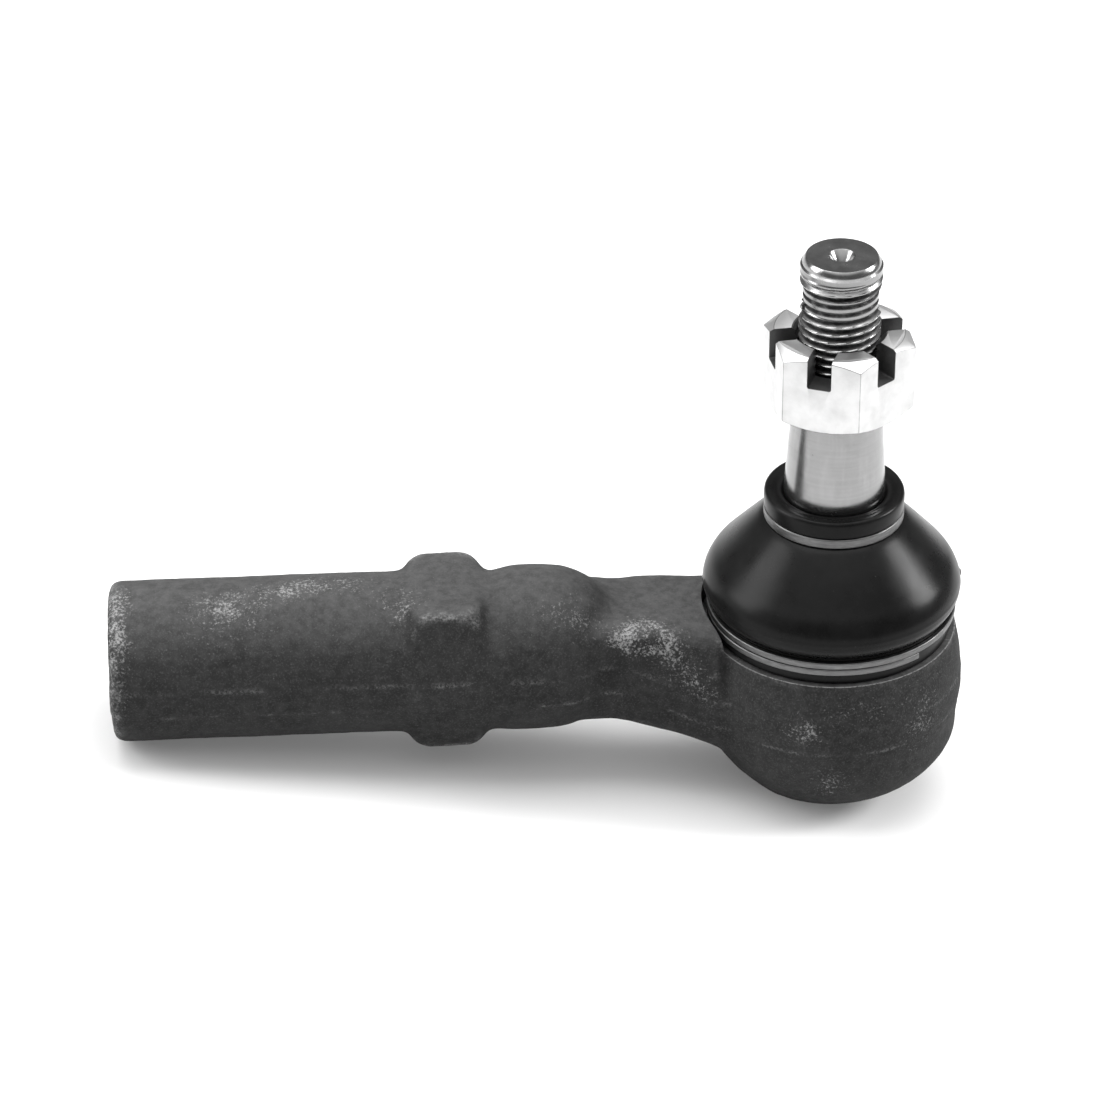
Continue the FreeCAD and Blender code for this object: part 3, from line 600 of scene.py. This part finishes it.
def make_nut():
    """The slotted nut: a hexagon with turned ends, U-shaped slots and a threaded bore."""
    low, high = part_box("castle_nut")
    seat, tall = low.z / MM, (high.z - low.z) / MM
    across = 23.0
    corner = across / math.sqrt(3.0)
    turn = math.radians(NUT_TURN)
    spin = np.array(Matrix.Rotation(turn, 3, "Z"))
    place = STUD_AXIS + (0, 0, seat)
    hexagon = turned([(corner, 0.0), (corner, tall)], 6) @ spin.T
    piece = skin("nut_hexagon", hexagon, offset=place)
    chamfer_start, slope = 11.04, 0.59
    wide = corner + 1.0
    drop = (wide - chamfer_start) * slope
    cone = turned([
        (0.02, -0.001), (chamfer_start, -0.001), (wide, drop), (wide, tall - drop),
        (chamfer_start, tall + 0.001), (0.02, tall + 0.001),
    ], 180)
    combine(piece, skin("nut_ends", cone, offset=place), "INTERSECT")
    slot_half, slot_depth, long = 2.0, 5.5, 30.0
    section = fillet([
        (-slot_half, tall + 1.0), (-slot_half, tall - slot_depth, 0.4),
        (slot_half, tall - slot_depth, 0.4), (slot_half, tall + 1.0),
    ], steps=5, closed=True)
    for step in range(3):
        slot_turn = np.array(Matrix.Rotation(turn + math.radians(30 + SLOT_SHIFT + 60 * step), 3, "Z"))
        ends = []
        for reach in (-long, long):
            ring = np.stack([np.full(len(section), reach), section[:, 0], section[:, 1]], 1)
            ends.append(ring @ slot_turn.T)
        combine(piece, skin("slot", ends, offset=place), "DIFFERENCE")
    weld(piece, flat_degrees=1.0)
    bevel(piece, 0.17)
    angle = full_turn(96)
    bore, mouth, groove_depth = 7.0, 1.1, 0.55
    rings = []
    for height in [-1.0, *np.arange(0.0, tall, 0.1), tall, tall + 1.0]:
        groove = 1.0 - thread_groove(angle, height + seat, STUD_PITCH)
        radius = bore + groove_depth * groove
        radius = np.maximum(radius, bore + mouth - min(height, tall - height) * 1.2)
        rings.append(ring_at(angle, np.minimum(radius, bore + mouth), height))
    combine(piece, skin("nut_bore", rings, offset=place), "DIFFERENCE")
    mark_recess(piece, place, turn, slot_half + 0.1, tall - slot_depth - 0.1)
    soften(piece, 28.0)
    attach(piece, "nut")
    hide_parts("castle_nut")
    return piece


def mark_recess(piece, place, turn, half, floor):
    """Stores which faces of the nut lie inside its slots or bore, or on its edges, where shade is painted."""
    edge_width = 0.13 * MM
    recess_shade, edges = [], []
    for face in piece.data.polygons:
        x, y, z = np.array(face.center) / MM - place
        inside = math.hypot(x, y) < 7.9 and abs(face.normal.z) < 0.9
        for step in range(3):
            angle = turn + math.radians(30 + SLOT_SHIFT + 60 * step)
            aside = abs(y * math.cos(angle) - x * math.sin(angle))
            inside = inside or (aside < half and z > floor)
        recess_shade.append(1.0 if inside else 0.0)
        corners = [piece.data.vertices[index].co for index in face.vertices]
        round_it = sum((a - b).length for a, b in zip(corners, corners[1:] + corners[:1]))
        edges.append(1.0 if 2.0 * face.area / round_it < edge_width else 0.0)
    for name, values in (("recess_shade", recess_shade), ("edge", edges)):
        attribute = piece.data.attributes.new(name, "FLOAT", "FACE")
        attribute.data.foreach_set("value", np.array(values, np.float32))


# ---------------------------------------------------------------- boot and rings

BOOT_OUTSIDE = (
    (20.9, 8.9), (21.05, 9.2), (21.65, 9.9), (22.2, 11.0), (22.35, 12.4), (22.05, 14.0), (21.0, 16.0),
    (19.3, 18.0), (17.5, 20.0), (15.85, 21.8), (14.3, 23.4), (12.95, 24.7), (12.25, 25.25),
)
BOOT_INSIDE = (
    (9.9, 23.4), (12.6, 22.0), (14.3, 20.6), (16.1, 18.6), (17.9, 16.6), (19.4, 15.0), (20.2, 13.6),
    (20.4, 12.0), (20.0, 10.6), (19.55, 9.4),
)


def make_boot():
    """The rubber bell, with a moulding line and a torn nub of flash at its widest place."""
    around = 192
    low, top = (corner.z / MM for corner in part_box("dust_boot"))
    outline = np.concatenate([
        fillet([(19.05, low), (20.9, low, 0.35), (20.9, 8.8)]),
        flowing(BOOT_OUTSIDE),
        fillet([
            (12.1, 25.35), (11.35, 25.4, 0.2), (11.35, 27.35, 0.1), (12.05, 27.5, 0.15),
            (12.1, 28.9), (12.1, top, 0.9), (10.9, top, 0.5), (9.8, top - 0.5, 0.3),
            (9.2, top - 0.4, 0.2), (8.79, top - 0.8, 0.15), (8.79, 24.2, 0.3), (9.4, 23.6),
        ]),
        flowing(BOOT_INSIDE),
        fillet([(19.55, 9.0), (19.55, 7.45, 0.1), (19.05, 6.9, 0.1), (19.05, low + 0.2)]),
    ])
    rings = turned(outline, around)
    angle = full_turn(around)
    for ring, (radius, height) in zip(rings, outline):
        if radius < 21.0 or not 9.0 < height < 16.0:
            continue
        line = 0.07 * math.exp(-((height - 12.4) / 0.22) ** 2)
        nub = 0.5 * np.exp(-((angle - 0.02) / 0.035) ** 2) * math.exp(-((height - 12.0) / 0.7) ** 2)
        bumps = 0.1 * np.exp(-((angle - 3.10) / 0.03) ** 2) * math.exp(-((height - 12.2) / 0.8) ** 2)
        ring[:, :2] *= (1.0 + (line + nub + bumps) / radius)[:, None]
    piece = skin("boot_bell", rings, loop=True)
    soften(piece, 50.0)
    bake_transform(piece)
    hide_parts("dust_boot")
    return piece


def make_upper_ring():
    low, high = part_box("boot_ring_upper")
    outer = (high.x - low.x) / 2 / MM
    bottom, top = low.z / MM, high.z / MM
    section = fillet([
        (outer - 0.7, bottom, 0.15), (outer, bottom + 0.05, 0.3), (outer, top - 0.05, 0.3),
        (outer - 0.7, top, 0.15),
    ], closed=True)
    piece = skin("waist_ring", turned(section, 160), loop=True)
    soften(piece, 60.0)
    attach(piece, "collar")
    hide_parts("boot_ring_upper")
    return piece


def make_lower_ring():
    """Flat spring wire wound round the boot's bead, its lower end in front on the right."""
    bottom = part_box("boot_ring_lower")[0].z / MM
    inner, outer, strip = 20.97, 21.72, 1.17
    turns, pitch, start = 1.5, 1.25, math.radians(-52.0)
    lean = 0.2
    section = fillet([
        (inner, 0.0, 0.12), (outer, 0.0, 0.26), (outer, strip, 0.26), (inner, strip, 0.12),
    ], closed=True)
    rings = []
    for share in np.linspace(0.0, 1.0, 260):
        angle = start - share * turns * 2.0 * math.pi
        height = bottom + share * turns * pitch + lean * (math.cos(angle) - math.cos(start)) * (
            1.0 - 0.7 * smoothstep(share, 0.6, 1.0))
        rings.append([
            (r * math.cos(angle), r * math.sin(angle), height + h) for r, h in section
        ])
    piece = skin("bead_ring", rings)
    work = bmesh.new()
    work.from_mesh(piece.data)
    bmesh.ops.recalc_face_normals(work, faces=work.faces)
    work.to_mesh(piece.data)
    work.free()
    soften(piece, 60.0)
    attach(piece, "boot")
    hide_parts("boot_ring_lower")
    return piece


# ---------------------------------------------------------------- materials

class Paint:
    """A material's node tree, with short calls that add nodes and wire them."""

    def __init__(self, name):
        self.material = bpy.data.materials.new(name)
        self.material.use_nodes = True
        self.nodes = self.material.node_tree.nodes
        self.links = self.material.node_tree.links
        self.shader = self.nodes["Principled BSDF"]
        self.place = self.nodes.new("ShaderNodeTexCoord").outputs["Object"]

    def feed(self, socket, value):
        if isinstance(value, bpy.types.NodeSocket):
            self.links.new(value, socket)
        else:
            socket.default_value = value

    def stretch(self, scale):
        node = self.nodes.new("ShaderNodeMapping")
        self.links.new(self.place, node.inputs["Vector"])
        node.inputs["Scale"].default_value = scale
        return node.outputs["Vector"]

    def noise(self, grain_mm, detail=3.0, roughness=0.55, vector=None):
        """Noise from 0 to 1 with a grain of a size in millimetres."""
        node = self.nodes.new("ShaderNodeTexNoise")
        self.links.new(vector or self.place, node.inputs["Vector"])
        node.inputs["Scale"].default_value = 1.0 / (grain_mm * MM)
        node.inputs["Detail"].default_value = detail
        node.inputs["Roughness"].default_value = roughness
        return node.outputs["Fac"]

    def upward(self):
        """How far a surface faces up in the piece's own frame, used to paint top light."""
        node = self.nodes.new("ShaderNodeSeparateXYZ")
        self.links.new(self.nodes["Texture Coordinate"].outputs["Normal"], node.inputs[0])
        return node.outputs["Z"]

    def attribute(self, name):
        node = self.nodes.new("ShaderNodeAttribute")
        node.attribute_name = name
        return node.outputs["Fac"]

    def ramp(self, value, low, high, bottom=0.0, top=1.0):
        node = self.nodes.new("ShaderNodeMapRange")
        self.feed(node.inputs["Value"], value)
        for name, number in (("From Min", low), ("From Max", high), ("To Min", bottom), ("To Max", top)):
            self.feed(node.inputs[name], number)
        return node.outputs["Result"]

    def ring(self, radius, height, reach):
        """Bright on a ring about the stud's axis, fading to nothing at a reach in millimetres."""
        node = self.nodes.new("ShaderNodeSeparateXYZ")
        self.links.new(self.place, node.inputs[0])
        x = self.sum("SUBTRACT", node.outputs["X"], AXIS_X)
        across = self.sum("POWER", self.sum("ADD", self.sum("MULTIPLY", x, x), self.sum(
            "MULTIPLY", node.outputs["Y"], node.outputs["Y"])), 0.5)
        aside = self.sum("SUBTRACT", across, radius * MM)
        above = self.sum("SUBTRACT", node.outputs["Z"], height * MM)
        away = self.sum("POWER", self.sum("ADD", self.sum("MULTIPLY", aside, aside), self.sum(
            "MULTIPLY", above, above)), 0.5)
        return self.ramp(away, 0.0, reach * MM, 1.6, 0.0)

    def sum(self, kind, first, second):
        node = self.nodes.new("ShaderNodeMath")
        node.operation = kind
        self.feed(node.inputs[0], first)
        self.feed(node.inputs[1], second)
        return node.outputs["Value"]

    def mix(self, share, first, second):
        node = self.nodes.new("ShaderNodeMix")
        node.data_type = "RGBA"
        self.feed(node.inputs["Factor"], share)
        self.feed(node.inputs["A"], first)
        self.feed(node.inputs["B"], second)
        return node.outputs["Result"]

    def bump(self, height, strength, depth_mm):
        node = self.nodes.new("ShaderNodeBump")
        node.inputs["Strength"].default_value = strength
        node.inputs["Distance"].default_value = depth_mm * MM
        self.feed(node.inputs["Height"], height)
        self.links.new(node.outputs["Normal"], self.shader.inputs["Normal"])

    def set(self, name, value):
        self.feed(self.shader.inputs[name], value)


def grey(value):
    return (value, value, value, 1.0)


def forged_paint():
    """Dark phosphate over a shot-blasted forging, rubbed bright in specks, edges and trim lines, with painted top
    light: faces that point up are painted lighter.
    """
    paint = Paint("forged_phosphate")
    broad = paint.noise(9.0, 4.0)
    mottle = paint.noise(1.6, 4.0, 0.65)
    grain = paint.noise(0.35, 2.0, 0.7)
    skin_tone = paint.mix(paint.ramp(broad, 0.3, 0.7), grey(0.016), grey(0.026))
    skin_tone = paint.mix(paint.ramp(mottle, 0.42, 0.75, 0.0, 0.6), skin_tone, grey(0.045))
    skin_tone = paint.mix(paint.ramp(grain, 0.52, 0.75, 0.0, 0.5), skin_tone, grey(0.085))
    # Painted top light: faces that point up are painted lighter, in mottled patches, standing in for the light
    # from above.
    dust = paint.sum("MULTIPLY", paint.ramp(paint.upward(), 0.5, 1.0),
                     paint.ramp(mottle, 0.3, 0.7, 0.3, 0.6))
    skin_tone = paint.mix(dust, skin_tone, grey(0.11))
    rubbed = paint.attribute("rubbed")
    edge = paint.attribute("edge_wear")
    flash = paint.attribute("flash")
    specks = paint.noise(0.5, 3.0, 0.75)
    reach = paint.noise(3.6, 3.0, 0.6)
    patch = paint.sum("MULTIPLY", rubbed, paint.ramp(reach, 0.36, 0.6, 0.45, 1.0))
    patch = paint.sum("ADD", paint.sum("MULTIPLY", patch, 0.27), 0.11)
    threshold = paint.sum("SUBTRACT", 0.78, patch)
    worn = paint.ramp(specks, threshold, paint.sum("ADD", threshold, 0.16))
    worn = paint.sum("MULTIPLY", worn, paint.ramp(rubbed, 0.2, 1.0, 0.45, 1.0))
    edge = paint.sum("MULTIPLY", edge, paint.ramp(reach, 0.42, 0.62, 0.05, 0.75))
    edge = paint.sum("MULTIPLY", edge, paint.ramp(specks, 0.42, 0.65, 0.1, 1.0))
    broken = paint.sum("MULTIPLY", paint.ramp(paint.noise(7.0, 3.0), 0.48, 0.6),
                       paint.ramp(specks, 0.45, 0.62))
    line = paint.sum("MULTIPLY", paint.sum("MULTIPLY", flash, broken), 0.4)
    rim = paint.sum("MULTIPLY", paint.ring(RIM_RADIUS, RIM_HEIGHT, 0.16),
                    paint.ramp(specks, 0.35, 0.55))
    bright = paint.sum("MAXIMUM", paint.sum("MAXIMUM", worn, edge), paint.sum("MAXIMUM", line, rim))
    tone = paint.mix(paint.ramp(bright, 0.0, 1.0, 0.0, 0.85), skin_tone, grey(0.30))
    paint.set("Base Color", tone)
    paint.set("Metallic", paint.ramp(bright, 0.3, 1.0, 0.0, 0.4))
    paint.set("Roughness", paint.ramp(bright, 0.0, 1.0, 0.75, 0.5))
    paint.shader.inputs["Specular IOR Level"].default_value = 0.11
    height = paint.sum("ADD", paint.noise(0.8, 5.0, 0.7), paint.sum("MULTIPLY", grain, 0.5))
    paint.bump(height, 0.5, 0.08)
    return paint.material


def turned_steel_paint():
    """Bright turned steel: fine rings from the tool, dull patches, and painted shade in the thread's roots."""
    paint = Paint("turned_steel")
    rings = paint.noise(0.35, 3.0, 0.6, paint.stretch((0.02, 0.02, 1.0)))
    stains = paint.noise(2.5, 4.0, 0.6)
    smear = paint.noise(1.2, 3.0, 0.6, paint.stretch((1.0, 1.0, 0.12)))
    # Painted shade: the thread's roots are painted near black, in patches, and made less metallic and rougher.
    root_shade = paint.sum("MULTIPLY", paint.attribute("thread_root"),
                     paint.ramp(paint.noise(1.4, 3.0, 0.6), 0.3, 0.55, 0.75, 1.0))
    tone = paint.mix(paint.ramp(rings, 0.3, 0.7), grey(0.27), grey(0.30))
    tone = paint.mix(paint.ramp(stains, 0.55, 0.8, 0.0, 0.35), tone, grey(0.22))
    tone = paint.mix(paint.ramp(smear, 0.5, 0.75, 0.0, 0.2), tone, grey(0.46))
    tone = paint.mix(root_shade, tone, grey(0.02))
    paint.set("Base Color", tone)
    paint.set("Metallic", paint.ramp(root_shade, 0.0, 1.0, 1.0, 0.6))
    paint.set("Roughness", paint.sum("ADD", paint.ramp(stains, 0.3, 0.8, 0.17, 0.3),
                                     paint.sum("MULTIPLY", root_shade, 0.25)))
    paint.bump(rings, 0.06, 0.02)
    return paint.material


def zinc_paint():
    """Bright zinc plate with faint clouds and scuffs, with painted shade inside its slots and bore and along its
    edges.
    """
    paint = Paint("bright_zinc")
    clouds = paint.noise(3.0, 4.0, 0.6)
    scuffs = paint.noise(0.5, 3.0, 0.7)
    recess_shade = paint.attribute("recess_shade")
    tone = paint.mix(paint.ramp(clouds, 0.35, 0.7), grey(0.66), grey(0.58))
    tone = paint.mix(paint.ramp(scuffs, 0.66, 0.8, 0.0, 0.4), tone, grey(0.5))
    # Painted shade: the narrow bevel faces along the edges are painted grey, standing in for their darker
    # reflection.
    edge = paint.sum("MULTIPLY", paint.attribute("edge"), paint.ramp(clouds, 0.3, 0.6, 0.5, 1.0))
    tone = paint.mix(edge, tone, grey(0.30))
    # Painted shade: faces inside the slots and bore are painted near black and made less metallic.
    tone = paint.mix(recess_shade, tone, paint.mix(clouds, grey(0.02), grey(0.07)))
    paint.set("Base Color", tone)
    paint.set("Metallic", paint.ramp(recess_shade, 0.0, 1.0, 1.0, 0.3))
    paint.set("Roughness", paint.ramp(clouds, 0.3, 0.7, 0.34, 0.46))
    paint.bump(paint.noise(0.7, 3.0, 0.6), 0.15, 0.03)
    return paint.material


def rubber_paint():
    """Satin black moulded rubber with a little bloom, dust specks and a soft mould grain."""
    paint = Paint("moulded_rubber")
    bloom = paint.noise(8.0, 4.0, 0.6)
    dust = paint.noise(0.5, 2.0, 0.7)
    tone = paint.mix(paint.ramp(bloom, 0.35, 0.7), grey(0.004), grey(0.008))
    tone = paint.mix(paint.ramp(dust, 0.74, 0.82, 0.0, 0.35), tone, grey(0.16))
    paint.set("Base Color", tone)
    paint.set("Roughness", paint.ramp(bloom, 0.3, 0.7, 0.24, 0.34))
    paint.shader.inputs["Specular IOR Level"].default_value = 0.11
    paint.bump(paint.noise(0.45, 3.0, 0.65), 0.12, 0.03)
    return paint.material


def wire_paint():
    """Drawn spring wire, dull bright, with marks along its length."""
    paint = Paint("spring_wire")
    along = paint.noise(0.3, 3.0, 0.6, paint.stretch((0.15, 0.15, 1.0)))
    marks = paint.noise(1.1, 3.0, 0.7)
    tone = paint.mix(paint.ramp(along, 0.3, 0.7), grey(0.11), grey(0.17))
    tone = paint.mix(paint.ramp(marks, 0.58, 0.78, 0.0, 0.6), tone, grey(0.12))
    paint.set("Base Color", tone)
    paint.shader.inputs["Metallic"].default_value = 1.0
    paint.set("Roughness", paint.ramp(marks, 0.3, 0.7, 0.34, 0.5))
    paint.bump(along, 0.25, 0.03)
    return paint.material


def plate_paint():
    """Dark phosphated pressing with a rubbed dish and tool rings."""
    paint = Paint("pressed_plate")
    mottle = paint.noise(1.8, 4.0, 0.65)
    specks = paint.noise(0.5, 3.0, 0.75)
    tone = paint.mix(paint.ramp(mottle, 0.3, 0.7), grey(0.03), grey(0.07))
    tone = paint.mix(paint.ramp(specks, 0.62, 0.74, 0.0, 0.8), tone, grey(0.3))
    paint.set("Base Color", tone)
    paint.set("Metallic", paint.ramp(specks, 0.62, 0.74, 0.2, 0.8))
    paint.set("Roughness", paint.ramp(mottle, 0.3, 0.7, 0.42, 0.6))
    paint.bump(specks, 0.3, 0.05)
    return paint.material


def resin_paint():
    """Natural acetal with a faint flow pattern and grease smears."""
    paint = Paint("acetal")
    flow = paint.noise(4.0, 4.0, 0.6)
    grease = paint.noise(2.0, 3.0, 0.6)
    tone = paint.mix(paint.ramp(flow, 0.3, 0.7), (0.72, 0.69, 0.60, 1), (0.82, 0.80, 0.72, 1))
    tone = paint.mix(paint.ramp(grease, 0.6, 0.75, 0.0, 0.5), tone, (0.42, 0.33, 0.18, 1))
    paint.set("Base Color", tone)
    paint.set("Roughness", paint.ramp(grease, 0.4, 0.7, 0.45, 0.22))
    paint.bump(flow, 0.15, 0.05)
    return paint.material


def washer_paint():
    """Oiled spring steel with a blue-grey temper and tumbling marks."""
    paint = Paint("tempered_steel")
    temper = paint.noise(3.0, 3.0, 0.6)
    marks = paint.noise(0.6, 3.0, 0.7)
    tone = paint.mix(paint.ramp(temper, 0.3, 0.7), (0.20, 0.20, 0.22, 1), (0.30, 0.29, 0.28, 1))
    tone = paint.mix(paint.ramp(marks, 0.6, 0.75, 0.0, 0.5), tone, grey(0.5))
    paint.set("Base Color", tone)
    paint.shader.inputs["Metallic"].default_value = 1.0
    paint.set("Roughness", paint.ramp(marks, 0.3, 0.7, 0.3, 0.45))
    paint.bump(marks, 0.2, 0.03)
    return paint.material


def cover(piece, material):
    piece.data.materials.clear()
    piece.data.materials.append(material)


cover(make_housing(), forged_paint())
cover(make_stud(), turned_steel_paint())
cover(make_nut(), zinc_paint())
cover(make_boot(), rubber_paint())
wire = wire_paint()
cover(make_upper_ring(), wire)
cover(make_lower_ring(), wire)
resin = resin_paint()
for node, material in (
    ("bearing_upper", resin), ("bearing_lower", resin), ("preload_washer", washer_paint()),
    ("cover_plate", plate_paint()),
):
    cover(frame["nodes"][node], material)
